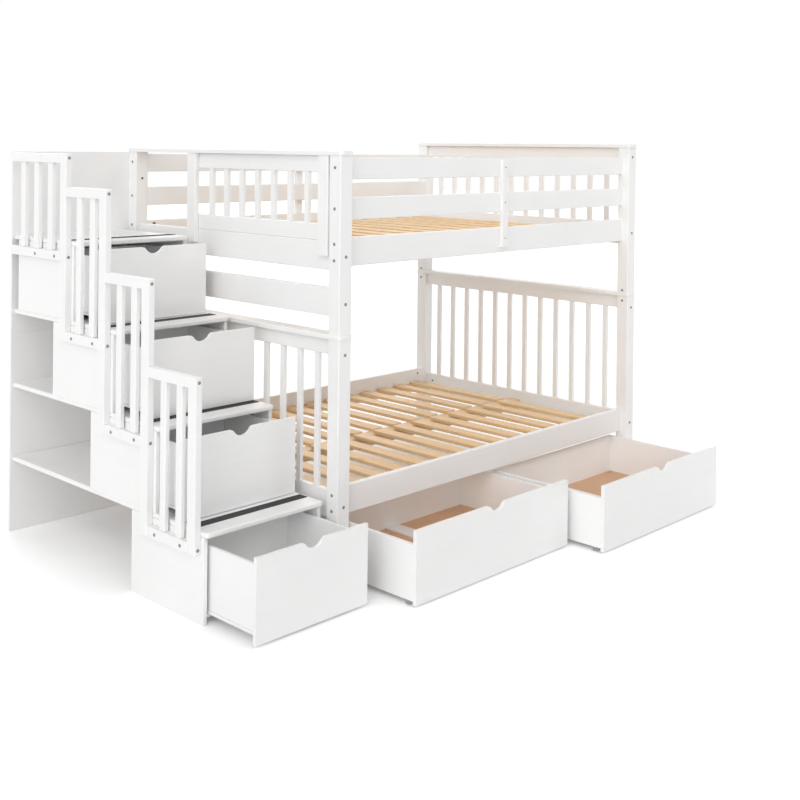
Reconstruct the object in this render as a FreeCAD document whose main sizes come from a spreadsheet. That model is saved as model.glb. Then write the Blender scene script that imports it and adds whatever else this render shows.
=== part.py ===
import FreeCAD, Part
import math
import os
import re
import Sketcher

# Bunk bed with storage stairs: two slatted bunks one above the other, two wide drawers on
# casters under the lower bunk, and at the left end a flight of four steps whose boxes hold
# one drawer each. Millimetres, +X along the bed away from the stairs, +Y to the back, +Z up.
# The drawers stand open, as far as each of them is pulled out in use.

doc = FreeCAD.newDocument("StairBunkBed")
sheet = doc.addObject("Spreadsheet::Sheet", "Dims")

SIZES = dict(
    # middle of the whole outline on the floor, in the bed's corner coordinates
    mid_x=713.925, mid_y=485.25,
    # posts and the two bunks
    post=63.5, bed_length=2019.0, bed_width=1467.0, arris=2.5,
    lower_top=938.0, cap=18.0, cap_side=3.25, cap_end=5.0, cap_round=14.0,
    upper_left_top=1643.0, upper_right_top=1686.0,
    # side rails and guard rails
    rail_thick=25.0, rail_high=111.0, back_rail_high=132.0, lower_rail=254.0, upper_rail=1214.0,
    guard_mid=1393.5, guard_mid_high=86.5, guard_top=1550.5, guard_top_high=84.0,
    batten_x=988.5, batten_wide=42.0, batten_thick=18.0, batten_low=1237.0, batten_high=390.0,
    # slatted ends
    inset=24.0, end_thick=24.0, end_low=243.0, end_low_high=110.0, end_top_high=63.0,
    upright=25.0, bar_thick=15.0, bar_pitch=105.45, bar_first=141.0,
    # the end by the stairs: two boards, and a short slatted screen beside the way in
    mid_board=1021.5, end_board=1200.0, board_high=111.0, board_thick=22.0,
    stile=60.0, stile_thick=28.0, stile_low=1255.0, stile_front=73.5, stile_entry=940.0,
    screen_rail=66.0, screen_first=213.5, screen_pitch=104.7,
    # bolt heads
    bolt_head=13.0, bolt_proud=2.4, bolt_low=298.5, bolt_top_low=880.0, bolt_middle=1074.5, bolt_upper=1255.5,
    bolt_rail_low=283.0, bolt_rail_high=344.0, bolt_end_low=1241.0, bolt_end_high=1304.0,
    bolt_guard=1439.0, bolt_rail_top=1596.5, bolt_seam_low=914.0, bolt_seam_high=966.0,
    bolt_near=87.0, bolt_apart=159.0, bolt_rise=17.0, screw_head=7.0,
    # slats of the two bunks and what carries them
    slat=62.0, slat_thick=13.0, slat_long=699.0, slat_pitch=132.0, slat_drop=59.0, slat_corner=7.0,
    ledge=25.0, ledge_high=38.0, beam=66.0, beam_high=50.0,
    # stairs
    stair_left=-564.0, stair_right=-25.0, panel=16.0, run=299.0, rise=319.0, first_top=325.0,
    box_front=67.0, box_deep=457.0, tread=19.0, nosing=18.0, nose_ease=4.0, corner_round=14.0,
    grip_gap=82.0, grip=45.0, grip_end=11.0, grip_proud=1.6,
    sheet_thick=16.0, seam=856.0, sheet_top=1642.0, sheet_lap=31.0, sheet_out=8.0,
    box_back=9.0, cleat=24.0, cleat_high=12.0, cleat_low=16.0,
    # handrail frames outside the steps
    frame_thick=28.0, frame_post=48.0, frame_low=246.0, frame_high=619.0, frame_rail=38.0,
    frame_front=84.0, frame_bar=36.0, frame_bar_thick=18.0, bar_one=89.0, bar_step=100.0,
    last_high=434.0, last_step=113.0, last_one=118.0, last_gap=22.0, glue=0.2,
    # drawers in the steps
    front_wide=513.0, front_thick=14.0, front_high=294.0, front_low=3.0, side_gap=13.0, side=12.0,
    side_low=40.0, side_high=226.0, box_long=416.0, runner=18.0, floor_up=6.0, ply=6.0,
    pull_one=261.0, pull_two=147.0, pull_three=184.0, pull_four=149.0,
    # drawers under the lower bunk
    wide_front=921.0, wide_thick=16.0, wide_low=7.0, wide_high=274.0, wide_left=71.0, wide_right=1024.0,
    wide_side=16.0, wide_side_low=20.0, wide_side_high=208.0, wide_long=590.0, wide_back=16.0,
    wide_floor=46.0, centre_rail=73.0, centre_high=12.0, wide_shut=22.0, pull_left=372.5, pull_right=534.5,
    # finger notch in the top edge of each drawer front
    notch_radius=48.0, notch_rise=20.0, notch_soft=18.0,
    # casters in the sides of the wide drawers
    wheel=17.0, wheel_wide=8.0, wheel_front=30.0, wheel_rear=60.0, axle=3.0, axle_room=0.4,
    slot_in=3.0, slot_wide=10.0, slot_long=42.0, slot_high=17.0,
)
for row, (name, number) in enumerate(SIZES.items(), start=1):
    sheet.set("A%d" % row, name)
    sheet.set("B%d" % row, repr(number))
    sheet.setAlias("B%d" % row, name)
doc.recompute()

PLANES = {"x": "YZ_Plane", "y": "XZ_Plane", "z": "XY_Plane"}


def bind(thing, path, formula):
    """Bind one property to the sheet; the words of the formula are the names in the sheet."""
    thing.setExpression(path, re.sub(r"[a-z_]+", lambda word: "Dims." + word.group(), str(formula)))


def origin_part(body, role):
    """A plane or an axis of the body's own origin."""
    return [part for part in body.Origin.OriginFeatures if part.Role == role][0]


def new_body(label, x, y, z):
    """An empty body at a place in the bed's corner coordinates."""
    body = doc.addObject("PartDesign::Body", label)
    body.Label = label
    body.AllowCompound = True
    bind(body, "Placement.Base.x", "(%s) - mid_x" % x)
    bind(body, "Placement.Base.y", "(%s) - mid_y" % y)
    bind(body, "Placement.Base.z", z)
    return body


def new_sketch(body, grain, at):
    """A sketch square to the grain, with its corner at a point of the body."""
    sketch = body.newObject("Sketcher::SketchObject", body.Name + "_outline")
    sketch.AttachmentSupport = [(origin_part(body, PLANES[grain]), "")]
    sketch.MapMode = "FlatFace"
    x, y, z = ("(%s)" % part for part in at)
    local = {"x": (y, z, x), "y": (x, z, "-1 * " + y), "z": (x, y, z)}[grain]
    for axis, formula in zip("xyz", local):
        bind(sketch, "AttachmentOffset.Base." + axis, formula)
    return sketch


def rectangle(sketch, wide, high):
    """A rectangle from the sketch's origin, its two sizes bound to the sheet."""
    corners = [FreeCAD.Vector(u, v, 0) for u, v in ((0, 0), (50, 0), (50, 30), (0, 30))]
    for first, second in zip(corners, corners[1:] + corners[:1]):
        sketch.addGeometry(Part.LineSegment(first, second))
    for line in range(4):
        sketch.addConstraint(Sketcher.Constraint("Coincident", line, 2, (line + 1) % 4, 1))
        sketch.addConstraint(Sketcher.Constraint("Vertical" if line % 2 else "Horizontal", line))
    sketch.addConstraint(Sketcher.Constraint("Coincident", 0, 1, -1, 1))
    across = sketch.addConstraint(Sketcher.Constraint("DistanceX", 0, 1, 0, 2, 50.0))
    upward = sketch.addConstraint(Sketcher.Constraint("DistanceY", 1, 1, 1, 2, 30.0))
    bind(sketch, "Constraints[%d]" % across, wide)
    bind(sketch, "Constraints[%d]" % upward, high)


def pad(body, sketch, grain, length):
    """Pad a sketch along its grain, always towards the plus side."""
    feature = body.newObject("PartDesign::Pad", body.Name + "_pad")
    feature.Profile = sketch
    feature.Reversed = grain == "y"
    bind(feature, "Length", length)
    return feature


def plank(body, grain, size, at=(0, 0, 0)):
    """One straight board: its section drawn square to the grain, then padded to its length."""
    along = "xyz".index(grain)
    section = [part for axis, part in enumerate(size) if axis != along]
    sketch = new_sketch(body, grain, at)
    rectangle(sketch, *section)
    return pad(body, sketch, grain, size[along])


def repeat(body, feature, axis, count, step):
    """The same board again at an even spacing."""
    pattern = body.newObject("PartDesign::LinearPattern", body.Name + "_row")
    pattern.Originals = [feature]
    pattern.Direction = (origin_part(body, axis.upper() + "_Axis"), [""])
    pattern.Mode = "Spacing"
    pattern.Refine = False
    pattern.Occurrences = count
    bind(pattern, "Offset", step)
    body.Tip = pattern
    return pattern


def dress_edges(body, kind, size, wanted):
    """A fillet or chamfer on every edge of the body's last feature that the test picks."""
    doc.recompute()
    base = body.Tip
    names = []
    for number, edge in enumerate(base.Shape.Edges, start=1):
        ends = [vertex.Point for vertex in edge.Vertexes]
        if len(ends) == 2 and wanted(edge, ends[0], ends[1]):
            names.append("Edge%d" % number)
    dressed = body.newObject("PartDesign::" + kind, body.Name + "_edges")
    dressed.Base = (base, names)
    bind(dressed, {"Fillet": "Radius", "Chamfer": "Size"}[kind], size)
    body.Tip = dressed
    return dressed


def runs_along(grain):
    """A test for straight edges that run along one axis."""
    axis = "xyz".index(grain)

    def test(edge, first, second):
        gap = second - first
        return abs(abs(gap[axis]) - gap.Length) < 1e-6 and gap.Length > 1
    return test


def ease(body, grain):
    """Take the sharp arris off the long edges of every board in a body."""
    return dress_edges(body, "Chamfer", "arris", runs_along(grain))


def board(label, grain, size, place):
    """One board in its own body, with its long edges eased."""
    body = new_body(label, *place)
    plank(body, grain, size)
    ease(body, grain)
    return body


# Posts. Each corner has a lower and an upper post, parted by the cap of the lower end frame.
for label, x, low, high, count in (
        ("lower_posts", "0", "0", "lower_top", 2),
        ("upper_posts_left", "0", "lower_top + cap", "upper_left_top", 1),
        ("upper_posts_right", "bed_length - post", "lower_top + cap", "upper_right_top", 1)):
    body = new_body(label, x, "0", low)
    tall = "%s - (%s)" % (high, low)
    for end in ("0", "bed_length - post")[:count]:
        plank(body, "z", ("post", "post", tall), (end, "0", "0"))
        plank(body, "z", ("post", "post", tall), (end, "bed_width - post", "0"))
    ease(body, "z")


def cap(label, z, ends):
    """A cap over an end frame: it overhangs the posts, with round corners and a soft top."""
    body = new_body(label, "-cap_side", "-cap_end", z)
    for end in ends:
        plank(body, "z", ("post + 2 * cap_side", "bed_width + 2 * cap_end", "cap"), (end, "0", "0"))
    dress_edges(body, "Fillet", "cap_round", runs_along("z"))
    doc.recompute()
    top = body.Tip.Shape.BoundBox.ZMax
    dress_edges(body, "Chamfer", "arris", lambda edge, first, second:
                min(first.z, second.z) > top - 0.01 and runs_along("y")(edge, first, second))
    return body


cap("lower_caps", "lower_top", ("0", "bed_length - post"))
cap("upper_cap_left", "upper_left_top", ("0",))
cap("upper_cap_right", "upper_right_top", ("bed_length - post",))

# Slatted ends of the lower bunk and the far end of the upper one: two rails between the
# posts, and twelve upright bars let in flush between the rails.
between = "bed_width - 2 * post"
for label, x, low, low_high, top in (
        ("lower_end_%s_left", "inset - 4", "end_low", "end_low_high", "lower_top"),
        ("lower_end_%s_right", "bed_length - post + inset - 4", "end_low", "end_low_high", "lower_top"),
        ("upper_end_%s_right", "bed_length - post + inset - 4", "end_board", "board_high",
         "upper_right_top")):
    rails = new_body(label % "rails", x, "post", low)
    plank(rails, "y", ("end_thick", between, low_high))
    plank(rails, "y", ("end_thick", between, "end_top_high"), ("0", "0", "%s - end_top_high - %s" % (top, low)))
    ease(rails, "y")
    bars = new_body(label % "bars", x + " + 4", "bar_first", "%s + %s" % (low, low_high))
    bar = plank(bars, "z", ("bar_thick", "upright", "%s - end_top_high - %s - %s" % (top, low, low_high)))
    repeat(bars, bar, "y", 12, "bar_pitch")

# The end by the stairs: a board at each of two heights, and beside the way in a screen of
# two stiles, two rails and seven bars under the cap.
boards = new_body("entry_end_boards", "inset - 2", "post", "mid_board")
for up in ("0", "end_board - mid_board"):
    plank(boards, "y", ("board_thick", between, "board_high"), ("0", "0", up))
ease(boards, "y")
stiles = new_body("entry_stiles", "0", "stile_front", "stile_low")
front_stile = plank(stiles, "z", ("inset - 2", "stile", "upper_left_top - stile_low"))
repeat(stiles, front_stile, "y", 2, "stile_entry - stile_front")
ease(stiles, "z")
screen_gap = "stile_entry + stile - post"
rails = new_body("entry_screen_rails", "inset - 2", "post", "end_board + board_high")
plank(rails, "y", ("board_thick", screen_gap, "screen_rail"))
plank(rails, "y", ("board_thick", screen_gap, "screen_rail"),
      ("0", "0", "upper_left_top - screen_rail - end_board - board_high"))
ease(rails, "y")
bars = new_body("entry_screen_bars", "inset", "screen_first", "end_board + board_high + screen_rail")
bar = plank(bars, "z", ("bar_thick", "upright", "upper_left_top - 2 * screen_rail - end_board - board_high"))
repeat(bars, bar, "y", 7, "screen_pitch")

# Side rails and guard rails, let in between the posts with their inner faces flush.
rail_long = "bed_length - 2 * post"
front_y = "post - rail_thick"
back_y = "bed_width - post"
battens = new_body("guard_battens", "batten_x", front_y + " - batten_thick", "batten_low")
batten = plank(battens, "z", ("batten_wide", "batten_thick", "batten_high"))
repeat(battens, batten, "y", 2, "%s - (%s) + rail_thick + batten_thick" % (back_y, front_y))
ease(battens, "z")
upper_rails = new_body("upper_side_rails", "post", front_y, "upper_rail")
upper_rail = plank(upper_rails, "x", (rail_long, "rail_thick", "rail_high"))
repeat(upper_rails, upper_rail, "y", 2, "%s - (%s)" % (back_y, front_y))
ease(upper_rails, "x")
for side, y, low_high in (("front", front_y, "rail_high"), ("back", back_y, "back_rail_high")):
    board("lower_side_rail_" + side, "x", (rail_long, "rail_thick", low_high), ("post", y, "lower_rail"))
    guards = new_body("guard_rails_" + side, "post", y, "guard_mid")
    plank(guards, "x", (rail_long, "rail_thick", "guard_mid_high"))
    plank(guards, "x", (rail_long, "rail_thick", "guard_top_high"), ("0", "0", "guard_top - guard_mid"))
    ease(guards, "x")


def bunk(tier, rail):
    """What carries a mattress: ledges on the side rails, a centre beam, two rows of slats.

    The rows come from either side and lie between each other over the beam."""
    top = "%s + rail_high - slat_drop" % rail
    ledges = new_body(tier + "_ledges", "post", "post", top + " - ledge_high")
    ledge = plank(ledges, "x", (rail_long, "ledge", "ledge_high"))
    repeat(ledges, ledge, "y", 2, "bed_width - 2 * post - ledge")
    board(tier + "_centre_beam", "x", ("bed_length - post - end_thick", "beam", "beam_high"),
          ("inset + board_thick - 2", "bed_width / 2 - beam / 2", top + " - beam_high"))
    slats = new_body(tier + "_slats", "post", "post", top)
    back_row = "bed_width - 2 * post - 3.5 - slat_long"
    for first, y, count in (("115.5", "3.5", 13), ("49.5", back_row, 14)):
        slat = plank(slats, "z", ("slat", "slat_long", "slat_thick"), (first, y, "0"))
        repeat(slats, slat, "x", count, "slat_pitch")
    dress_edges(slats, "Chamfer", "slat_corner", runs_along("z"))


bunk("lower", "lower_rail")
bunk("upper", "upper_rail")

# Bolts. Their low heads show on the outer faces of the posts, the battens and the handrails.
heads = []


def bolt_heads(grain, face, across, ups, step="0", count=1, size="bolt_head"):
    """Low heads on a flat face square to the grain, one above the other and in even columns.

    Each stands out from the face towards the minus side."""
    for up in ups:
        for column in range(count):
            head = doc.addObject("Part::Prism", "bolt_head")
            head.Polygon = 12
            turn = {"x": (FreeCAD.Vector(0, 1, 0), -90), "y": (FreeCAD.Vector(1, 0, 0), 90)}[grain]
            head.Placement = FreeCAD.Placement(FreeCAD.Vector(), FreeCAD.Rotation(*turn))
            shifted = "%s + %d * (%s)" % (across, column, step)
            x, y = (face, shifted) if grain == "x" else (shifted, face)
            bind(head, "Circumradius", size + " / 2")
            bind(head, "Height", "bolt_proud")
            bind(head, "Placement.Base.x", "(%s) - mid_x" % x)
            bind(head, "Placement.Base.y", "(%s) - mid_y" % y)
            bind(head, "Placement.Base.z", up)
            heads.append(head)


right_middle = "bed_length - post / 2"
rail_ups = ["bolt_low", "bolt_top_low", "bolt_upper"]
bolt_heads("y", "0", "post / 2", rail_ups, "bed_length - post", 2)
bolt_heads("y", "0", "post / 2", ["bolt_middle"])
bolt_heads("y", "0", right_middle, ["upper_right_top - 47"])
bolt_heads("y", "bed_width + bolt_proud", right_middle, rail_ups + ["upper_right_top - 47"])
bolt_heads("y", front_y + " - batten_thick", "batten_x + batten_wide / 2",
           ("bolt_upper + 22", "guard_mid + 43", "guard_top + 42"), size="screw_head")
bolt_heads("x", "0", "post / 2",
           ["bolt_%s" % up for up in ("rail_low", "rail_high", "end_low", "end_high", "guard", "rail_top")],
           "bed_width - post", 2)
bolt_heads("x", "bed_length - post", "post / 2", ("bolt_seam_low", "bolt_seam_high"), "bed_width - post", 2)
for step, low, high in ((0, "bolt_rise", "frame_high"), (1, "bolt_rise", "frame_high"), (2, "bolt_rise", "frame_high"),
                        (3, "bolt_rise", "last_high")):
    foot = "frame_low + %d * rise" % step
    bolt_heads("x", "stair_left - frame_thick", "frame_front + bolt_near + %d * run" % step, [foot + " + " + low],
               "bolt_apart", 2)
    bolt_heads("y", "frame_front + %d * run" % step, "stair_left - frame_thick / 2",
               [foot + " + " + low, "%s + %s - bolt_rise" % (foot, high)])
bolts = doc.addObject("Part::MultiFuse", "frame_bolts")
bolts.Label = "frame_bolts"
bolts.Shapes = heads
bolts.Refine = False

# Stairs. Every step is a box of two side panels under a tread, and every tread runs back to
# the sheets behind, so that the space behind each box is an open shelf. The sheets lap the
# bed's back post and are notched round the end of its lower cap.
stair_wide = "stair_right - stair_left"
for side, x in (("left", "stair_left"), ("right", "stair_right - panel")):
    panels = new_body("stair_panels_" + side, x, "box_front", "0")
    for step in range(4):
        low = "%d * rise - rise + first_top" % step if step else "0"
        high = "%d * rise + first_top - tread" % step
        plank(panels, "z", ("panel", "box_deep", "(%s) - (%s)" % (high, low)), ("0", "%d * run" % step, low))
backs = new_body("stair_box_backs", "stair_left + panel", "box_front + box_deep - box_back", "0")
for step in range(4):
    low = "%d * rise - rise + first_top" % step if step else "0"
    high = "%d * rise + first_top - tread" % step
    plank(backs, "z", (stair_wide + " - 2 * panel", "box_back", "(%s) - (%s)" % (high, low)),
          ("0", "%d * run" % step, low))

treads = new_body("stair_treads", "stair_left", "box_front - nosing", "first_top - tread")
for step in range(4):
    plank(treads, "z", (stair_wide, "bed_width - box_front + nosing - %d * run" % step, "tread"),
          ("0", "%d * run" % step, "%d * rise" % step))
doc.recompute()
back_line = treads.Tip.Shape.BoundBox.YMax
bed_side = treads.Tip.Shape.BoundBox.XMax
dress_edges(treads, "Fillet", "corner_round", lambda edge, first, second:
            runs_along("z")(edge, first, second) and (first.y < back_line - 1 or first.x < bed_side - 1))
doc.recompute()
dress_edges(treads, "Chamfer", "nose_ease", lambda edge, first, second:
            runs_along("x")(edge, first, second) and first.y < back_line - 1)

grips = new_body("tread_grips", "stair_left + grip_end", "box_front - nosing + grip_gap", "first_top")
for step in range(4):
    plank(grips, "x", (stair_wide + " - 2 * grip_end", "grip", "grip_proud"),
          ("0", "%d * run" % step, "%d * rise" % step))

sheets = new_body("stair_back_sheets", "stair_left - sheet_out", "bed_width", "0")
sheet_wide = "sheet_lap + sheet_out - stair_left"
plank(sheets, "x", (sheet_wide, "sheet_thick", "seam - glue"))
plank(sheets, "x", (sheet_wide, "sheet_thick", "sheet_top - seam"), ("0", "0", "seam"))
room = new_sketch(sheets, "x", ("sheet_out - stair_left - cap_side - 1", "-1", "lower_top - 1"))
rectangle(room, "cap_end + 2", "cap + 2")
notch = sheets.newObject("PartDesign::Pocket", "stair_back_sheets_notch")
notch.Profile = room
notch.Reversed = True
bind(notch, "Length", "sheet_lap + cap_side + 2")
sheets.Tip = notch

# Cleats inside each box, on which the runners of its drawer slide.
cleats = new_body("drawer_cleats", "stair_left + panel", "box_front + 8", "cleat_low + first_top - rise")
for step in range(4):
    for x in ("0", stair_wide + " - 2 * panel - cleat"):
        plank(cleats, "y", ("cleat", "box_deep - box_back - 8", "cleat_high"),
              (x, "%d * run" % step, "%d * rise" % step))

# Handrail frames outside the left panels: a post in front, a rail above and below, and bars.
# Each post runs on down to the foot of the frame before it, whose rails end against it.
rail_y = "frame_post + glue"
for step, high, count, one, pitch, reach in (
        (0, "frame_high", 2, "bar_one", "bar_step", "run - frame_post - glue * 2"),
        (1, "frame_high", 2, "bar_one", "bar_step", "run - frame_post - glue * 2"),
        (2, "frame_high", 2, "bar_one", "bar_step", "run - frame_post - glue * 2"),
        (3, "last_high", 3, "last_one", "last_step", "bed_width - last_gap - frame_front - 3 * run - frame_post")):
    frame = new_body("stair_guard_%d" % (step + 1), "stair_left - frame_thick",
                     "frame_front + %d * run" % step, "frame_low + %d * rise" % step)
    bars = plank(frame, "z", ("frame_bar_thick", "frame_bar", high + " - 2 * frame_rail - 2 * glue"),
                 ("frame_thick / 2 - frame_bar_thick / 2", one, "frame_rail + glue"))
    repeat(frame, bars, "y", count, pitch)
    foot = "rise" if step else "0"
    plank(frame, "z", ("frame_thick", "frame_post", high + " + " + foot), ("0", "0", "-1 * " + foot))
    plank(frame, "y", ("frame_thick", reach, "frame_rail"), ("0", rail_y, "0"))
    plank(frame, "y", ("frame_thick", reach, "frame_rail"), ("0", rail_y, high + " - frame_rail"))


def drawer_front(label, wide, thick, high, place):
    """A drawer front: a round finger notch is cut into the middle of its top edge, and the
    two shoulders of the notch are rounded off."""
    body = new_body(label, *place)
    sketch = new_sketch(body, "y", ("0", "0", "0"))
    w, h = SIZES[wide], SIZES[high]
    radius, rise = SIZES["notch_radius"], SIZES["notch_rise"]
    half = math.sqrt(radius ** 2 - rise ** 2)
    points = [FreeCAD.Vector(u, v, 0) for u, v in (
        (w / 2 - half, h), (0, h), (0, 0), (w, 0), (w, h), (w / 2 + half, h))]
    for first, second in zip(points, points[1:]):
        sketch.addGeometry(Part.LineSegment(first, second))
    middle = FreeCAD.Vector(w / 2, h + rise, 0)
    start = math.atan2(-rise, -half)
    end = math.atan2(-rise, half)
    circle = Part.Circle(middle, FreeCAD.Vector(0, 0, 1), radius)
    sketch.addGeometry(Part.ArcOfCircle(circle, start, end))
    for line in range(4):
        sketch.addConstraint(Sketcher.Constraint("Coincident", line, 2, line + 1, 1))
    sketch.addConstraint(Sketcher.Constraint("Coincident", 5, 1, 0, 1))
    sketch.addConstraint(Sketcher.Constraint("Coincident", 5, 2, 4, 2))
    for line in (0, 2, 4):
        sketch.addConstraint(Sketcher.Constraint("Horizontal", line))
    for line in (1, 3):
        sketch.addConstraint(Sketcher.Constraint("Vertical", line))
    sketch.addConstraint(Sketcher.Constraint("Coincident", 2, 1, -1, 1))
    for formula, constraint in (
            (wide, Sketcher.Constraint("DistanceX", 2, 1, 2, 2, w)),
            (high, Sketcher.Constraint("DistanceY", 2, 1, 0, 2, h)),
            ("notch_radius", Sketcher.Constraint("Radius", 5, radius)),
            ("(%s) / 2" % wide, Sketcher.Constraint("DistanceX", 2, 1, 5, 3, w / 2)),
            ("(%s) + notch_rise" % high, Sketcher.Constraint("DistanceY", 2, 1, 5, 3, h + rise))):
        bind(sketch, "Constraints[%d]" % sketch.addConstraint(constraint), formula)
    sketch.addConstraint(Sketcher.Constraint("Horizontal", 0, 1, 4, 2))
    pad(body, sketch, "y", thick)
    dress_edges(body, "Fillet", "notch_soft", lambda edge, first, second:
                runs_along("y")(edge, first, second) and 1 < first.x < w - 1)
    return body


# Drawers in the steps: a notched front, two sides on runners, a back and a bottom.
for step, pull in enumerate(("pull_one", "pull_two", "pull_three", "pull_four")):
    name = "stair_drawer_%d" % (step + 1)
    base = "first_top - rise + %d * rise" % step
    y = "box_front - front_thick - 1 + %d * run - %s" % (step, pull)
    middle = "(stair_left + stair_right) / 2"
    drawer_front(name + "_front", "front_wide", "front_thick", "front_high",
                 (middle + " - front_wide / 2", y, base + " + front_low"))
    inner = stair_wide + " - 2 * panel - 2 * side_gap"
    box = new_body(name + "_box", "stair_left + panel + side_gap", y + " + front_thick", base + " + side_low")
    sides = plank(box, "y", ("side", "box_long", "side_high"))
    repeat(box, sides, "x", 2, inner + " - side")
    runners = plank(box, "y", ("runner", "box_long", "side_low - cleat_low - cleat_high - 0.6"),
                    ("-3", "0", "cleat_low + cleat_high + 0.4 - side_low"))
    repeat(box, runners, "x", 2, inner + " + 6 - runner")
    plank(box, "x", (inner + " - 2 * side - 2 * glue", "side", "side_high"),
          ("side + glue", "box_long - side", "0"))
    plank(box, "x", (inner + " - 2 * side - 2 * glue", "box_long - side - 2 * glue", "ply"),
          ("side + glue", "glue", "floor_up"))

# Drawers under the lower bunk: wide boxes whose two plywood bottoms meet a centre rail.
for side, x, pull in (("left", "wide_left", "pull_left"), ("right", "wide_right", "pull_right")):
    name = "bed_drawer_%s" % side
    y = "wide_shut - " + pull
    drawer_front(name + "_front", "wide_front", "wide_thick", "wide_high", (x, y, "wide_low"))
    box = new_body(name + "_box", x, y + " + wide_thick", "wide_side_low")
    sides = plank(box, "y", ("wide_side", "wide_long", "wide_side_high"))
    repeat(box, sides, "x", 2, "wide_front - wide_side")
    inner = "wide_front - 2 * wide_side - 2 * glue"
    plank(box, "x", (inner, "wide_back", "wide_side_high"),
          ("wide_side + glue", "wide_long - wide_back", "0"))
    plank(box, "y", ("centre_rail", "wide_long - wide_back - 2 * glue", "centre_high"),
          ("wide_front / 2 - centre_rail / 2", "glue", "wide_floor - wide_side_low"))
    bottom = new_body(name + "_bottom", x + " + wide_side + glue", y + " + wide_thick + glue", "wide_floor")
    half = "(%s) / 2 - centre_rail / 2 - 2 * glue" % inner
    sheets = plank(bottom, "x", (half, "wide_long - wide_back - 2 * glue", "ply"))
    repeat(bottom, sheets, "x", 2, half + " + centre_rail + 4 * glue")
    # Casters: four slots are cut up into the sides from below, and each holds a wheel that
    # turns on a pin and stands out below the side.
    for row in ("wheel_front", "wide_long - wheel_rear"):
        for near in ("slot_in", "wide_front - wide_side + slot_in"):
            slot = new_sketch(box, "z", (near, "%s - slot_long / 2" % row, "0"))
            rectangle(slot, "slot_wide", "slot_long")
            cut = box.newObject("PartDesign::Pocket", box.Name + "_slot")
            cut.Profile = slot
            cut.Reversed = True
            bind(cut, "Length", "slot_high")
            box.Tip = cut
    pins = new_body(name + "_axles", x + " + slot_in", y + " + wide_thick", "wheel")
    for end, row in (("front", "wheel_front"), ("rear", "wide_long - wheel_rear")):
        pin = new_sketch(pins, "x", ("0", row, "0"))
        pin.addGeometry(Part.Circle(FreeCAD.Vector(0, 0, 0), FreeCAD.Vector(0, 0, 1), 3.0))
        pin.addConstraint(Sketcher.Constraint("Coincident", 0, 3, -1, 1))
        bind(pin, "Constraints[%d]" % pin.addConstraint(Sketcher.Constraint("Radius", 0, 3.0)), "axle")
        repeat(pins, pad(pins, pin, "x", "slot_wide"), "x", 2, "wide_front - wide_side")
        wheels = new_body("%s_wheels_%s" % (name, end), x + " + slot_in + slot_wide / 2 - wheel_wide / 2",
                          y + " + wide_thick + " + row, "wheel")
        sketch = new_sketch(wheels, "y", ("0", "0", "axle + axle_room"))
        rectangle(sketch, "wheel_wide", "wheel - axle - axle_room")
        turned = wheels.newObject("PartDesign::Revolution", wheels.Name + "_turned")
        turned.Profile = sketch
        turned.ReferenceAxis = (origin_part(wheels, "X_Axis"), [""])
        turned.Angle = 360.0
        repeat(wheels, turned, "x", 2, "wide_front - wide_side")

doc.recompute()

PIECES = [bolts] + [thing for thing in doc.Objects if thing.TypeId == "PartDesign::Body"]
for thing in doc.Objects:
    if "Invalid" in thing.State or "Error" in thing.State:
        raise RuntimeError("not built: " + thing.Label)
for piece in PIECES:
    if piece.Shape.isNull() or not piece.Shape.isValid():
        raise RuntimeError("no sound solid: " + piece.Label)

os.makedirs("parts", exist_ok=True)
for piece in PIECES:
    piece.Shape.exportStep(os.path.join("parts", piece.Label + ".step"))
outline = FreeCAD.BoundBox()
for piece in PIECES:
    outline.add(piece.Shape.BoundBox)
print(len(PIECES), "pieces", outline)
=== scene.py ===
import math

import bmesh
import bpy
from mathutils import Matrix, Vector


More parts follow.
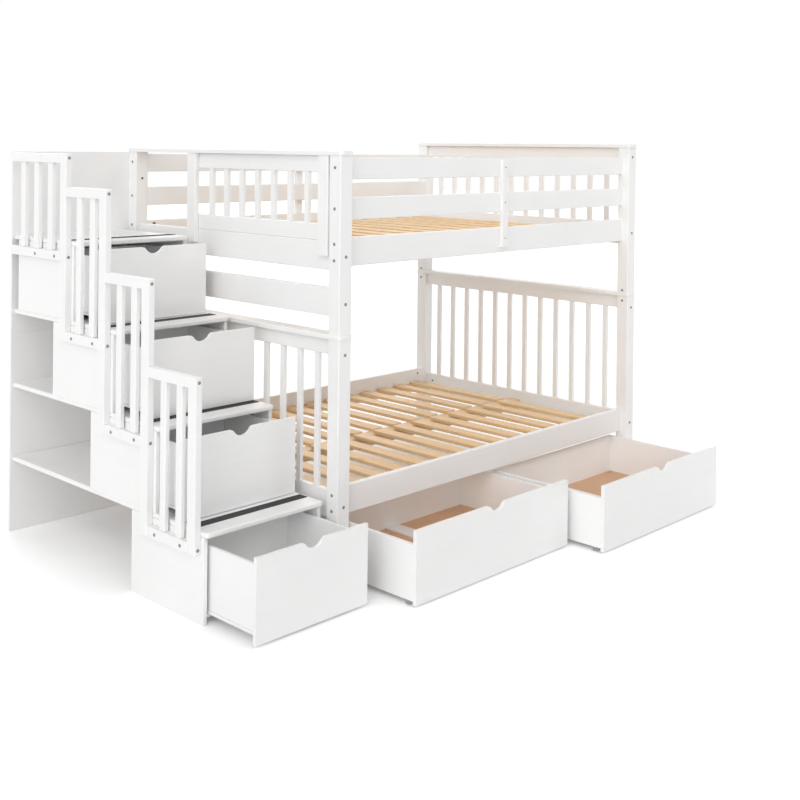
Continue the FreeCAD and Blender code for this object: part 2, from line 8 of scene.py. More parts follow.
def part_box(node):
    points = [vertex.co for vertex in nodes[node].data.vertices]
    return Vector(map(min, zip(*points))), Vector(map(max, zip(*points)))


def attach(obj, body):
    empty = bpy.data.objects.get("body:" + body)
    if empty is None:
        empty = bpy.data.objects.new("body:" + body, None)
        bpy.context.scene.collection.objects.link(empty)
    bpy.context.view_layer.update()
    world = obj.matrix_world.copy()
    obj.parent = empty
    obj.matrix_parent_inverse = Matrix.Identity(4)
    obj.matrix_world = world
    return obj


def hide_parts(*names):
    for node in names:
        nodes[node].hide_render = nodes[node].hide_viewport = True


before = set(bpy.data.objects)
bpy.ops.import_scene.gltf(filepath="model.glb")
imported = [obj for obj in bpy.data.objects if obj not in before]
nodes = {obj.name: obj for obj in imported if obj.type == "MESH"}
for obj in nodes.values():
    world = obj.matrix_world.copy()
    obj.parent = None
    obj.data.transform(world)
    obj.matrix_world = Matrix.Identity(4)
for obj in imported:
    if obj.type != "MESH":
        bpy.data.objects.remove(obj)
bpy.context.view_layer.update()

# ---- Frame timber ----------------------------------------------------------------------
# Posts, rails, caps, end bars, screens and handrails: solid rubberwood, planed, eased along
# the edges and sprayed with white satin lacquer. A little of the grain still shows through
# it, long along each board.
class Graph:
    """A node tree under construction."""

    def __init__(self, tree):
        self.tree = tree

    def node(self, kind, settings=(), sockets=()):
        """A new node: its settings first, then a value or a link for each of its sockets."""
        made = self.tree.nodes.new(kind)
        for name, item in dict(settings).items():
            setattr(made, name, item)
        for name, item in dict(sockets).items():
            self.feed(made.inputs[name], item)
        return made

    def feed(self, socket, item):
        """Link a value or another node's socket to a socket, or set it to a constant."""
        if isinstance(item, Value):
            item = item.socket
        if isinstance(item, bpy.types.NodeSocket):
            self.tree.links.new(item, socket)
        else:
            socket.default_value = item

    def point(self, x, y, z):
        """A position made of three values or numbers."""
        return self.node("ShaderNodeCombineXYZ", (), {0: x, 1: y, 2: z}).outputs[0]

    def split(self, position):
        """The three values of a position."""
        parts = self.node("ShaderNodeSeparateXYZ", (), {0: position})
        return [Value(self, part) for part in parts.outputs]


class Value:
    """A number in a graph that takes plain arithmetic, so that a finish reads as a formula."""

    def __init__(self, graph, socket):
        self.graph, self.socket = graph, socket

    def run(self, operation, *others, clamp=False):
        step = self.graph.node("ShaderNodeMath", {"operation": operation, "use_clamp": clamp},
                               enumerate((self,) + others))
        return Value(self.graph, step.outputs[0])

    def __add__(self, other):
        return self.run("ADD", other)

    def __mul__(self, other):
        return self.run("MULTIPLY", other)

    def __sub__(self, other):
        return self.run("SUBTRACT", other)

    def __truediv__(self, other):
        return self.run("DIVIDE", other)

    def __rsub__(self, other):
        return self * -1.0 + other

    __radd__, __rmul__ = __add__, __mul__

    def floor(self):
        return self.run("FLOOR")

    def between(self, low, high):
        """0 below low, 1 above high, straight in between."""
        return ((self - low) / (high - low)).run("ADD", 0.0, clamp=True)


class Surface(Graph):
    """A finish: one material whose colour and relief follow the object coordinates."""

    def __init__(self, name):
        self.material = bpy.data.materials.new(name)
        self.material.use_nodes = True
        super().__init__(self.material.node_tree)
        self.shader = self.tree.nodes["Principled BSDF"]
        self.place = self.node("ShaderNodeTexCoord").outputs["Object"]
        self.x, self.y, self.z = self.split(self.place)

    def noise(self, position, scale=1.0, detail=3.0, rough=0.5):
        sockets = {"Vector": position, "Scale": scale, "Detail": detail, "Roughness": rough}
        return Value(self, self.node("ShaderNodeTexNoise", (), sockets).outputs["Fac"])

    def chance(self, position):
        """A number from 0 to 1 that is the same all over one cell."""
        return Value(self, self.node("ShaderNodeTexWhiteNoise", (), {"Vector": position}).outputs["Value"])

    def cells(self, position):
        """Distance to the nearest of many scattered points."""
        sockets = {"Vector": position, "Scale": 1.0}
        return Value(self, self.node("ShaderNodeTexVoronoi", (), sockets).outputs["Distance"])

    def blend(self, factor, first, second):
        """A colour between two colours, each a socket or three numbers."""
        ends = [(*colour, 1.0) if isinstance(colour, tuple) else colour for colour in (first, second)]
        mix = self.node("ShaderNodeMix", {"data_type": "RGBA"}, {0: factor, 6: ends[0], 7: ends[1]})
        return mix.outputs[2]

    def set(self, **inputs):
        """Constants and values on the shader; an underscore in a name stands for a space."""
        for name, item in inputs.items():
            self.feed(self.shader.inputs[name.replace("_", " ")], item)

    def bump(self, height, distance, strength):
        sockets = {"Strength": strength, "Distance": distance, "Height": height}
        self.set(Normal=self.node("ShaderNodeBump", (), sockets).outputs[0])


def lacquer(name, grain, tone, grain_depth):
    """White satin lacquer over boards whose grain runs along one axis."""
    paint = Surface(name)
    along, across = 0.9, 26.0
    stretch = [along if axis == grain else across for axis in "xyz"]
    fibre_place = paint.point(paint.x * stretch[0], paint.y * stretch[1], paint.z * stretch[2])
    fibre = paint.noise(fibre_place, 3.0, 5.0, 0.6)
    cloud = paint.noise(paint.place, 3.5, 2.0)
    peel = paint.noise(paint.place, 420.0, 2.0)
    pale = tuple(min(1.0, part * 1.012) for part in tone)
    dull = tuple(part * 0.975 for part in tone)
    shade = cloud.between(0.3, 0.7) * 0.6 + fibre.between(0.35, 0.65) * 0.4
    paint.set(Base_Color=paint.blend(shade, dull, pale), Roughness=fibre * 0.08 + cloud * 0.08 + 0.36,
              Coat_Weight=0.12, Coat_Roughness=0.3)
    paint.bump(fibre * grain_depth + peel * 0.12, 0.0006, 0.25)
    return paint.material


def finish_nodes(material, names, arris_width=0.0012):
    """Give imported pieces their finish, and the small round arris that lacquer needs."""
    for name in names:
        node = nodes[name]
        node.data.materials.clear()
        node.data.materials.append(material)
        weld = node.modifiers.new("weld", "WELD")
        weld.merge_threshold = 0.00002
        arris = node.modifiers.new("arris", "BEVEL")
        arris.width, arris.segments = arris_width, 2
        arris.limit_method, arris.angle_limit = "ANGLE", math.radians(30)


PAINT_WHITE = (0.895, 0.892, 0.889)
finish_nodes(lacquer("lacquer_along_bed", "x", PAINT_WHITE, 1.0), (
    "lower_side_rail_front", "lower_side_rail_back", "upper_side_rails", "guard_rails_front",
    "guard_rails_back"))
finish_nodes(lacquer("lacquer_across_bed", "y", PAINT_WHITE, 1.0), (
    "lower_caps", "upper_cap_left", "upper_cap_right", "lower_end_rails_left", "lower_end_rails_right",
    "upper_end_rails_right", "entry_end_boards", "entry_screen_rails"))
finish_nodes(lacquer("lacquer_upright", "z", PAINT_WHITE, 1.0), (
    "lower_posts", "upper_posts_left", "upper_posts_right", "lower_end_bars_left", "lower_end_bars_right",
    "upper_end_bars_right", "entry_stiles", "entry_screen_bars", "guard_battens"))

# The handrails beside the steps are glued up from posts, rails and bars whose edges are
# rounded over, so that a fine groove shows wherever two of them meet.
finish_nodes(lacquer("lacquer_handrail", "z", PAINT_WHITE, 1.0), (
    "stair_guard_1", "stair_guard_2", "stair_guard_3", "stair_guard_4"), 0.003)


# ---- Bolts -----------------------------------------------------------------------------
# The frame is held by steel furniture bolts. Each shows as a low, broad head of dull zinc
# with a hexagon socket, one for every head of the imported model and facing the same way.
def lathe(name, rings, segments=24):
    """A closed mesh about Z from (radius, height, sides) rings: 0 sides is round, 6 a hexagon."""
    mesh = bmesh.new()
    loops = []
    for radius, height, sides in rings:
        loop = []
        for step in range(segments):
            angle = 2 * math.pi * step / segments
            reach = radius
            if sides == 6:
                reach = radius / math.cos((angle + math.pi / 6) % (math.pi / 3) - math.pi / 6)
            loop.append(mesh.verts.new((reach * math.cos(angle), reach * math.sin(angle), height)))
        loops.append(loop)
    for low, high in zip(loops, loops[1:]):
        for step in range(segments):
            after = (step + 1) % segments
            mesh.faces.new((low[step], low[after], high[after], high[step]))
    mesh.faces.new(reversed(loops[0]))
    mesh.faces.new(loops[-1])
    bmesh.ops.recalc_face_normals(mesh, faces=mesh.faces)
    made = bpy.data.meshes.new(name)
    mesh.to_mesh(made)
    mesh.free()
    shape = bpy.data.objects.new(name, made)
    for face in made.polygons:
        face.use_smooth = True
    made.set_sharp_from_angle(angle=math.radians(35))
    return shape


def start_tree(name, **inputs):
    """A geometry graph and what it is given: one socket of each named kind."""
    graph = Graph(bpy.data.node_groups.new(name, "GeometryNodeTree"))
    new_socket = graph.tree.interface.new_socket
    for socket, kind in inputs.items():
        new_socket(socket, in_out="INPUT", socket_type="NodeSocket" + kind)
    new_socket("Result", in_out="OUTPUT", socket_type="NodeSocketGeometry")
    return graph, graph.node("NodeGroupInput").outputs


def end_tree(graph, geometry, finish):
    """Close a geometry graph: real meshes in one material."""
    real = graph.node("GeometryNodeRealizeInstances", (), {0: geometry})
    painted = graph.node("GeometryNodeSetMaterial", (), {"Geometry": real.outputs[0], "Material": finish})
    graph.node("NodeGroupOutput", (), {0: painted.outputs[0]})
    return graph.tree


def scatter_tree():
    """One shape set on every point of a mesh, its Z along the point's facing."""
    graph, given = start_tree("set_on_points", Points="Geometry", Shape="Object", Finish="Material")
    read, vector = "GeometryNodeInputNamedAttribute", {"data_type": "FLOAT_VECTOR"}
    facing = graph.node(read, vector, {"Name": "facing"}).outputs[0]
    grow = graph.node(read, (), {"Name": "grow"}).outputs[0]
    turn = graph.node("FunctionNodeAlignRotationToVector", {"axis": "Z"}, {"Vector": facing})
    shape = graph.node("GeometryNodeObjectInfo", (), {"Object": given["Shape"]})
    placed = graph.node("GeometryNodeInstanceOnPoints", (), {
        "Points": given["Points"], "Instance": shape.outputs["Geometry"], "Rotation": turn.outputs[0],
        "Scale": grow})
    return end_tree(graph, placed.outputs[0], given["Finish"])


set_on_points = scatter_tree()


def bake(name, mesh, tree, **inputs):
    """A plain mesh object from a base mesh and a tree with its named inputs set."""
    base = bpy.data.objects.new(name + "_base", mesh)
    bpy.context.collection.objects.link(base)
    modifier = base.modifiers.new("make", "NODES")
    modifier.node_group = tree
    for item in tree.interface.items_tree:
        if item.item_type == "SOCKET" and item.in_out == "INPUT" and item.name in inputs:
            modifier[item.identifier] = inputs[item.name]
    bpy.context.view_layer.update()
    graph = bpy.context.evaluated_depsgraph_get()
    made = bpy.data.meshes.new_from_object(base.evaluated_get(graph))
    bpy.data.objects.remove(base)
    piece = bpy.data.objects.new(name, made)
    bpy.context.collection.objects.link(piece)
    return piece


def points_mesh(name, places, sizes=None):
    """A mesh of loose points, each with the way it faces and how much its shape grows."""
    mesh = bpy.data.meshes.new(name)
    mesh.from_pydata([place for place, _ in places], [], [])
    mesh.attributes.new("facing", "FLOAT_VECTOR", "POINT")
    mesh.attributes.new("grow", "FLOAT", "POINT")
    for number, (_, way) in enumerate(places):
        mesh.attributes["facing"].data[number].vector = way
        mesh.attributes["grow"].data[number].value = sizes[number] if sizes else 1.0
    return mesh


def speckled(name, low, high, rough, metal, scale):
    """Metal, plastic or rubber whose colour and roughness drift a little over the surface."""
    thing = Surface(name)
    cloud = thing.noise(thing.place, scale, 4.0)
    thing.set(Base_Color=thing.blend(cloud.between(0.3, 0.7), low, high), Metallic=metal,
              Roughness=cloud * 0.15 + rough)
    thing.bump(cloud, 0.0004, 0.3)
    return thing.material


def islands(node):
    """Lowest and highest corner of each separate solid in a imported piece."""
    mesh = bmesh.new()
    mesh.from_mesh(node.data)
    bmesh.ops.remove_doubles(mesh, verts=mesh.verts, dist=0.00002)
    left = set(mesh.verts)
    while left:
        reached, edge = set(), [left.pop()]
        while edge:
            vert = edge.pop()
            reached.add(vert)
            near = {link.other_vert(vert) for link in vert.link_edges} & left
            left -= near
            edge.extend(near)
        yield tuple(Vector([pick(vert.co[axis] for vert in reached) for axis in range(3)])
                    for pick in (min, max))
    mesh.free()


HEAD, BACK_FROM = 0.0065, 0.9
bolt_places, bolt_sizes = [], []
for low, high in islands(nodes["frame_bolts"]):
    size, middle = high - low, (low + high) / 2
    axis = min(range(3), key=lambda number: size[number])
    way = Vector((0, 0, 0))
    way[axis] = 1 if axis == 1 and middle.y > BACK_FROM else -1
    bolt_places.append((middle - way * size[axis] / 2, way))
    bolt_sizes.append(size.z / (2 * HEAD))
bolt_head = lathe("bolt_head", (
    (HEAD, 0.0, 0), (HEAD, 0.0009, 0), (HEAD * 0.93, 0.0016, 0), (HEAD * 0.75, 0.0022, 0),
    (HEAD * 0.58, 0.0024, 0), (0.0031, 0.0023, 6), (0.0029, 0.0006, 6)))
zinc = speckled("bolt_zinc", (0.26, 0.26, 0.27), (0.38, 0.38, 0.39), 0.30, 0.85, 300.0)
bolts = bake("bolts", points_mesh("bolt_points", bolt_places, bolt_sizes), set_on_points,
             Shape=bolt_head, Finish=zinc)
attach(bolts, "bunk_frame")
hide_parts("frame_bolts")

# Barrel nuts take the bolts' threads. They sit in the inner faces of the side rails and the
# far end rails, a hand's width from each corner, dark with a round hollow in the middle. The
# upper bunk's are broader.
LOWER_NUTS, UPPER_NUTS, GUARD_NUT, BROADER = 0.359, 1.305, 1.520, 1.6
END_NUTS, POST, BED_DEEP = ((0.3135, 0.050), (1.2653, 0.036)), 0.0635, 1.467
bed_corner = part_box("lower_posts")[0]
end_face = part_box("upper_end_rails_right")[0].x
back_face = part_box("lower_side_rail_back")[0].y
nut_places, nut_sizes = [], []
for height, gap in END_NUTS:
    for y in (BED_DEEP - POST - gap, POST + gap):
        nut_places.append((Vector((end_face, bed_corner.y + y, height)), Vector((-1, 0, 0))))
        nut_sizes.append(1.0)
for x, height, grow in ((0.119, LOWER_NUTS, 1.0), (1.900, LOWER_NUTS, 1.0), (0.099, UPPER_NUTS, BROADER),
                        (1.920, UPPER_NUTS, BROADER), (0.033, GUARD_NUT, 1.0)):
    nut_places.append((Vector((bed_corner.x + x, back_face, height)), Vector((0, -1, 0))))
    nut_sizes.append(grow)
nut = lathe("barrel_nut", (
    (0.0055, 0.0, 0), (0.0055, 0.0004, 0), (0.0046, 0.0006, 0), (0.0014, 0.0006, 0), (0.0012, 0.0002, 0)), 20)
dark = speckled("barrel_nut_bronze", (0.10, 0.09, 0.08), (0.16, 0.15, 0.14), 0.35, 0.8, 300.0)
nuts = bake("barrel_nuts", points_mesh("nut_points", nut_places, nut_sizes), set_on_points,
            Shape=nut, Finish=dark)
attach(nuts, "bunk_frame")


# ---- Bunk slats ------------------------------------------------------------------------
# Plain pine slats with round corners and eased edges, in two rows a bunk whose ends meet on
# a centre beam, housed 3 mm deep in what carries them. Each slat is its own piece of wood,
# with growth lines along it and some knots.
def timber(name, pale, dark, grain, cell, ring_scale):
    """Bare wood along one axis; a new piece starts with each cell, given by its start and pitch."""
    wood = Surface(name)
    across, along = (wood.x, wood.y) if grain == "y" else (wood.y, wood.x)
    piece = wood.chance(wood.point(((wood.x - cell[0]) / cell[1]).floor(), (wood.z * 3.0).floor(), 0.5))
    wander = wood.noise(wood.point(across * 3.0, along * 0.9, piece * 9.0), 3.0, 2.0)
    ring_place = wood.point(across * ring_scale + wander * 5.0, along * 1.3,
                            wood.z * ring_scale + piece * 30.0)
    rings = wood.noise(ring_place, 1.0, 4.0, 0.6)
    pores = wood.noise(wood.point(across * 600.0, along * 14.0, wood.z * 600.0), 1.0, 2.0)
    spot = wood.cells(wood.point(across * 11.0 + wander * 0.5, along * 2.6, piece * 17.0))
    knot = 1.0 - spot.between(0.03, 0.11)
    tone = wood.blend(rings.between(0.36, 0.64) * 0.75 + pores * 0.25, dark, pale)
    tone = wood.blend(piece * 0.55, tone, tuple(part * 0.84 for part in pale))
    tone = wood.blend(knot * 0.6, tone, tuple(part * 0.5 for part in dark))
    wood.set(Base_Color=tone, Roughness=pores * 0.14 + rings * 0.08 + 0.42)
    wood.bump(rings * 0.7 + pores * 0.5, 0.0005, 0.3)
    return wood.material


def slat_shape(name, wide, long, thick, corner_round, edge_round):
    """A flat slat along Y with round corners in plan and eased edges, its lowest corner at 0."""
    outline = []
    near, right, far = corner_round, wide - corner_round, long - corner_round
    corners = (right, near, 270), (right, far, 0), (near, far, 90), (near, near, 180)
    for middle_x, middle_y, start in corners:
        for step in range(7):
            angle = math.radians(start + 15 * step)
            x, y = middle_x + corner_round * math.cos(angle), middle_y + corner_round * math.sin(angle)
            outline.append((x, y, 0.0))
    mesh = bmesh.new()
    base = mesh.faces.new([mesh.verts.new(point) for point in outline])
    raised = bmesh.ops.extrude_face_region(mesh, geom=[base])
    lifted = [item for item in raised["geom"] if isinstance(item, bmesh.types.BMVert)]
    bmesh.ops.translate(mesh, vec=(0, 0, thick), verts=lifted)
    bmesh.ops.recalc_face_normals(mesh, faces=mesh.faces)
    rims = [edge for edge in mesh.edges if abs(edge.verts[0].co.z - edge.verts[1].co.z) < 1e-6]
    bmesh.ops.bevel(mesh, geom=rims, offset=edge_round, segments=3, affect="EDGES", profile=0.5)
    made = bpy.data.meshes.new(name)
    mesh.to_mesh(made)
    mesh.free()
    for face in made.polygons:
        face.use_smooth = True
    made.set_sharp_from_angle(angle=math.radians(40))
    return bpy.data.objects.new(name, made)


def row_tree():
    """The same slat on every point, each turned a hair out of true."""
    graph, given = start_tree("slat_rows", Points="Geometry", Slat="Object", Wood="Material",
                              Askew="Float", Seed="Int")
    other_way = Value(graph, given["Askew"]) * -1.0
    turn = graph.node("FunctionNodeRandomValue", (), {2: other_way, 3: given["Askew"], "Seed": given["Seed"]})
    slat = graph.node("GeometryNodeObjectInfo", (), {"Object": given["Slat"]})
    placed = graph.node("GeometryNodeInstanceOnPoints", (), {
        "Points": given["Points"], "Instance": slat.outputs["Geometry"],
        "Rotation": graph.point(0.0, 0.0, turn.outputs[1])})
    return end_tree(graph, placed.outputs[0], given["Wood"])


slat_rows = row_tree()
SLAT_WIDE, SLAT_LONG, SLAT_THICK = 0.066, 0.660, 0.016
SLAT_PITCH, SLATS_A_ROW, FRONT_ROW_OFFSET = 0.132, 14, -0.018
slat = slat_shape("slat", SLAT_WIDE, SLAT_LONG, SLAT_THICK, 0.012, 0.0028)
first_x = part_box("lower_slats")[0].x
slat_cells = (first_x - 0.002, SLAT_PITCH / 2)
pine = timber("pine_slat", (0.87, 0.63, 0.37), (0.73, 0.47, 0.24), "y", slat_cells, 55.0)
for tier, seed in (("lower", 3), ("upper", 8)):
    low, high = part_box(tier + "_slats")
    places = []
    for x, y in ((low.x + FRONT_ROW_OFFSET, low.y), (low.x, high.y - SLAT_LONG)):
        places += [Vector((x + SLAT_PITCH * step, y, high.z - SLAT_THICK))
                   for step in range(SLATS_A_ROW)]
    grid = bpy.data.meshes.new(tier + "_slat_points")
    grid.from_pydata(places, [], [])
    slats = bake(tier + "_pine_slats", grid, slat_rows, Slat=slat, Wood=pine, Askew=0.0016, Seed=seed)
    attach(slats, "bunk_frame")
    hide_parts(tier + "_slats")

# The ledges and centre beams that carry the slats are pine too, plain and unpainted.
ONE_PIECE = (-9.0, 20.0)
finish_nodes(timber("pine_bearer", (0.84, 0.62, 0.39), (0.70, 0.46, 0.25), "x", ONE_PIECE, 30.0), (
    "lower_ledges", "upper_ledges", "lower_centre_beam", "upper_centre_beam"))

# ---- Step boxes ------------------------------------------------------------------------
# The boxes, treads, shelves and back sheets are wide boards of painted fibreboard, smoother
# than the frame, with only the faint texture of the sprayed paint.
BOARD_GRAIN = 0.25
finish_nodes(lacquer("lacquer_board", "y", PAINT_WHITE, BOARD_GRAIN), (
    "stair_panels_left", "stair_panels_right", "stair_box_backs", "stair_treads",
    "stair_back_sheets", "drawer_cleats"))

# A small black rubber stop under each tread, screwed to the inside of the right panel,
# catches the drawer before it can be pulled out.
def soft_block(name, low, high, edge, taper=1.0):
    """A block between two corners with rounded edges, its minus X side shorter by the taper."""
    mesh = bmesh.new()
    bmesh.ops.create_cube(mesh, size=1.0)
    middle, size = (low + high) / 2, high - low
    for vert in mesh.verts:
        short = taper if vert.co.x < 0 else 1.0
        vert.co = middle + Vector((vert.co.x * size.x, vert.co.y * size.y, vert.co.z * size.z * short))
    bmesh.ops.bevel(mesh, geom=mesh.edges[:], offset=edge, segments=3, affect="EDGES", profile=0.5)
    made = bpy.data.meshes.new(name)
    mesh.to_mesh(made)
    mesh.free()
    return bpy.data.objects.new(name, made)


stop = soft_block("drawer_stop", Vector((-0.005, -0.006, -0.009)), Vector((0.005, 0.006, 0.009)), 0.002, 0.7)
panel_face, box_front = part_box("stair_panels_right")[0].xy
STEP_RUN, STEP_RISE, STOP_BACK, STOP_HEIGHT = 0.299, 0.319, 0.108, 0.262
stop_places = []
for step in range(4):
    back, up = box_front + STOP_BACK + STEP_RUN * step, STOP_HEIGHT + STEP_RISE * step
    stop_places.append((Vector((panel_face - 0.005, back, up)), Vector((0, 0, 1))))
rubber = speckled("stop_rubber", (0.015, 0.015, 0.015), (0.03, 0.03, 0.03), 0.55, 0.0, 500.0)
stops = bake("drawer_stops", points_mesh("stop_points", stop_places), set_on_points,
             Shape=stop, Finish=rubber)
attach(stops, "bunk_frame")


# ---- Tread grips -----------------------------------------------------------------------
# A black anti-slip strip is stuck across each tread behind its nosing. It is extruded with
# fine ribs along its length and a flat margin on each side.
def ribs_tree():
    """A flat strip along X whose top side is folded into even ribs, with a plain margin."""
    graph, given = start_tree("ribbed_strip", Size="Vector", Ribs="Int", Margin="Float", Depth="Float",
                              Rubber="Material")
    ribs, margin, depth = (Value(graph, given[name]) for name in ("Ribs", "Margin", "Depth"))
    wide = graph.split(given["Size"])[1]
    across, height = graph.split(graph.node("GeometryNodeInputPosition").outputs[0])[1:]
    turn = (across + wide * 0.5) / wide * ribs
    valley = (turn - turn.floor() - 0.5).run("ABSOLUTE").between(0.15, 0.35)
    inside = (wide * 0.5 - across.run("ABSOLUTE") - margin).run("GREATER_THAN", 0.0)
    top = height.run("GREATER_THAN", 0.0)
    block = graph.node("GeometryNodeMeshCube", (), {
        "Size": given["Size"], "Vertices X": 2, "Vertices Y": ribs * 6.0 + 1.0, "Vertices Z": 2})
    folded = graph.node("GeometryNodeSetPosition", (), {
        "Geometry": block.outputs["Mesh"],
        "Offset": graph.point(0.0, 0.0, valley * inside * top * depth * -1.0)})
    return end_tree(graph, folded.outputs[0], given["Rubber"])


ribbed_strip = ribs_tree()
strip_black = speckled("grip_black", (0.014, 0.014, 0.014), (0.03, 0.03, 0.03), 0.5, 0.0, 700.0)
by_height = sorted(islands(nodes["tread_grips"]), key=lambda corners: corners[0].z)
for number, (low, high) in enumerate(by_height, start=1):
    grip = bake("tread_grip_%d" % number, bpy.data.meshes.new("grip_base"), ribbed_strip,
                Size=high - low, Ribs=9, Margin=0.0035, Depth=0.0007, Rubber=strip_black)
    grip.data.transform(Matrix.Translation((low + high) / 2))
    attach(grip, "bunk_frame")
    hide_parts("tread_grips")

# ---- Drawers ---------------------------------------------------------------------------
# Fronts and boxes are painted board. The stair drawers' sides are pinned to the front with
# wood dowels, whose pale ends show near the front edge of each side.
drawer_paint = lacquer("lacquer_drawer", "x", PAINT_WHITE, BOARD_GRAIN)
stair_drawers = ["stair_drawer_%d" % step for step in (1, 2, 3, 4)]
bed_drawers = ["bed_drawer_left", "bed_drawer_right"]
finish_nodes(drawer_paint, [
    body + part for body in stair_drawers + bed_drawers for part in ("_front", "_box")])
DOWEL_HEIGHTS, DOWEL_INSET, SIDE_INSET = (0.067, 0.1905), 0.008, 0.003
dowel = lathe("dowel_end", ((0.004, 0.0, 0), (0.004, 0.0002, 0), (0.0037, 0.0004, 0), (0.001, 0.0004, 0)), 16)
beech = timber("dowel_beech", (0.74, 0.60, 0.44), (0.60, 0.46, 0.32), "y", ONE_PIECE, 200.0)
for body in stair_drawers:
    low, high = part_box(body + "_box")
    foot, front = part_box(body + "_front")[0].z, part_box(body + "_front")[1].y
    places = []
    for x, way in ((low.x + SIDE_INSET, -1), (high.x - SIDE_INSET, 1)):
        for up in DOWEL_HEIGHTS:
            places.append((Vector((x, front + DOWEL_INSET, foot + up)), Vector((way, 0, 0))))
    pins = bake(body + "_dowels", points_mesh(body + "_dowel_points", places), set_on_points,
                Shape=dowel, Finish=beech)
    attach(pins, body)

# The wide drawers under the lower bunk have brown plywood bottoms on each side of a painted
# centre rail. The stair drawers have one painted sheet, held in a groove round the box.
plywood = timber("drawer_plywood", (0.75, 0.467, 0.286), (0.58, 0.34, 0.195), "x", ONE_PIECE, 18.0)
finish_nodes(plywood, [body + "_bottom" for body in bed_drawers])
BOTTOM_LOW, BOTTOM_HIGH, SIDE, BACK = 0.0234, 0.0248, 0.0156, 0.0126
for body in stair_drawers:
    low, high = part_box(body + "_box")
    near = Vector((low.x + SIDE, low.y + 0.0006, low.z + BOTTOM_LOW))
    far = Vector((high.x - SIDE, high.y - BACK, low.z + BOTTOM_HIGH))
    base = soft_block(body + "_base", near, far, 0.0004)
    bpy.context.collection.objects.link(base)
    base.data.materials.append(drawer_paint)
    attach(base, body)


# ---- Casters ---------------------------------------------------------------------------
# Four grey plastic wheels turn on steel pins in slots in the sides of each wide drawer. A
# wheel has a crowned tread, a recessed web and a raised hub.
def wheel_shape(name, radius, wide, bore):
    half = wide / 2
    rings = (
        (bore, -half, 0), (bore * 1.9, -half, 0), (bore * 2.0, -half * 0.55, 0),
        (radius * 0.72, -half * 0.55, 0), (radius * 0.78, -half * 0.95, 0),
        (radius * 0.94, -half * 0.9, 0), (radius * 0.99, -half * 0.5, 0), (radius, 0.0, 0),
        (radius * 0.99, half * 0.5, 0), (radius * 0.94, half * 0.9, 0),
        (radius * 0.78, half * 0.95, 0), (radius * 0.72, half * 0.55, 0),
        (bore * 2.0, half * 0.55, 0), (bore * 1.9, half, 0), (bore, half, 0), (bore, -half, 0))
    shape = lathe(name, rings, 36)
    mesh = bmesh.new()
    mesh.from_mesh(shape.data)
    bmesh.ops.delete(mesh, geom=[face for face in mesh.faces if len(face.verts) > 4], context="FACES_ONLY")
    bmesh.ops.remove_doubles(mesh, verts=mesh.verts, dist=0.00001)
    bmesh.ops.recalc_face_normals(mesh, faces=mesh.faces)
    mesh.to_mesh(shape.data)
    mesh.free()
    return shape


grey = speckled("wheel_grey_plastic", (0.30, 0.30, 0.30), (0.38, 0.38, 0.38), 0.42, 0.0, 120.0)
low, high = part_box("bed_drawer_left_wheels_front")
wheel = wheel_shape("wheel", (high.z - low.z) / 2, 0.008, 0.0034)
for drawer in bed_drawers:
    for end in ("front", "rear"):
        body = drawer + "_wheels_" + end
        places = [((low + high) / 2, Vector((1, 0, 0))) for low, high in islands(nodes[body])]
        wheels = bake(body + "_turned", points_mesh(body + "_points", places), set_on_points,
                      Shape=wheel, Finish=grey)
        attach(wheels, body)
        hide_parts(body)
steel = speckled("axle_steel", (0.5, 0.5, 0.5), (0.62, 0.62, 0.62), 0.25, 1.0, 200.0)
finish_nodes(steel, [body + "_axles" for body in bed_drawers])

# ---- Studio ----------------------------------------------------------------------------
# The photographer's white room: a pale floor that runs out to white, broad soft light from
# the left and from the lit wall behind, and a smaller key from the right. Away from the bed
# the floor has a painted glow, seen by the camera only, that whitens it and its shadows.
PAINTED_FLOOR_LIGHT, SKY = 0.22, 0.35
SHADE_X, SHADE_Y, FADE = (0.02, 0.97), (0.25, 0.55), 0.5
floor_mesh = bpy.data.meshes.new("floor")
HALF, UNDER = 30, -0.0005
floor_corners = [(-HALF, -HALF, UNDER), (HALF, -HALF, UNDER), (HALF, HALF, UNDER), (-HALF, HALF, UNDER)]
floor_mesh.from_pydata(floor_corners, [], [(0, 1, 2, 3)])
floor = bpy.data.objects.new("floor", floor_mesh)
bpy.context.collection.objects.link(floor)
ground = Surface("floor_pale")
speck = ground.noise(ground.place, 4.0, 2.0)
ground.set(Base_Color=ground.blend(speck, (0.94, 0.94, 0.94), (0.955, 0.955, 0.955)), Roughness=0.9,
           Specular_IOR_Level=0.1, Emission_Strength=1.0)
seen_floor = Value(ground, ground.node("ShaderNodeLightPath").outputs["Is Camera Ray"])
over_x, over_y = (((value - middle).run("ABSOLUTE") - half).run("MAXIMUM", 0.0)
                  for value, (middle, half) in ((ground.x, SHADE_X), (ground.y, SHADE_Y)))
away = (over_x * over_x + over_y * over_y).run("SQRT").between(0.0, FADE)
# Painted light: the floor glows for the camera, more the further it lies outside the shaded floor round the
# bed, paling the floor and its shadows there.
ground.set(Emission_Color=seen_floor * away * PAINTED_FLOOR_LIGHT)
floor_mesh.materials.append(ground.material)

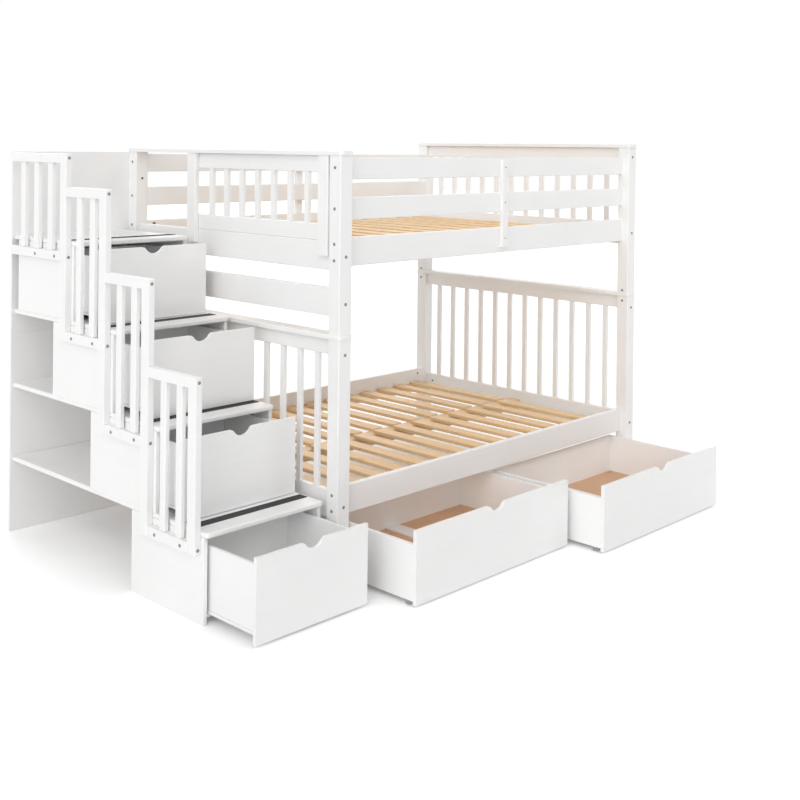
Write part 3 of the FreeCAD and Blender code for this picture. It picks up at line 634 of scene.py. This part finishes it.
world = bpy.data.worlds.new("studio")
bpy.context.scene.world = world
world.use_nodes = True
sky = Graph(world.node_tree)
room = sky.tree.nodes["Background"]
room.inputs["Color"].default_value = (1.0, 1.0, 1.0, 1.0)
rays = sky.node("ShaderNodeLightPath").outputs
shown = Value(sky, rays["Is Camera Ray"]) + Value(sky, rays["Is Glossy Ray"])
shown = (shown + Value(sky, rays["Is Transmission Ray"])).run("MINIMUM", 1.0)
sky.feed(room.inputs["Strength"], shown * (1.01 - SKY) + SKY)


def sun(name, azimuth, elevation, spread, power):
    """A distant lamp; azimuth 0 stands in front of the bed and positive ones to its right."""
    data = bpy.data.lights.new(name, "SUN")
    data.energy, data.angle = math.pi * power, math.radians(spread)
    lamp = bpy.data.objects.new(name, data)
    bpy.context.collection.objects.link(lamp)
    around, up = math.radians(azimuth), math.radians(elevation)
    towards = Vector((math.sin(around) * math.cos(up), -math.cos(around) * math.cos(up), math.sin(up)))
    lamp.rotation_mode = "QUATERNION"
    lamp.rotation_quaternion = towards.to_track_quat("Z", "Y")


sun("left_wall", -75, 30, 60, 0.25)
sun("left_front", -40, 35, 60, 0.26)
sun("left_low", -70, 10, 40, 0.10)
sun("right_key", 38, 40, 20, 0.13)
sun("back_wall", 160, 35, 60, 0.48)

lens = bpy.data.cameras.new("camera")
camera = bpy.data.objects.new("camera", lens)
bpy.context.collection.objects.link(camera)
bpy.context.scene.camera = camera
PIXELS, FOCAL, CENTRE_X, CENTRE_Y = 800, 1150.69, 426.41, 150.57
lens.lens = FOCAL / PIXELS * lens.sensor_width
lens.shift_x = 0.5 - CENTRE_X / PIXELS
lens.shift_y = CENTRE_Y / PIXELS - 0.5
camera_place = Vector((bed_corner.x - 2.95004, bed_corner.y - 3.23849, 1.6775))
TURN, NOD, ROLL = (math.radians(angle) for angle in (43.42 - 90, 90 - 0.16, 0.60))
camera.matrix_world = (Matrix.Translation(camera_place) @ Matrix.Rotation(TURN, 4, "Z")
                       @ Matrix.Rotation(NOD, 4, "X") @ Matrix.Rotation(ROLL, 4, "Z"))
bpy.context.scene.view_settings.view_transform = "Standard"
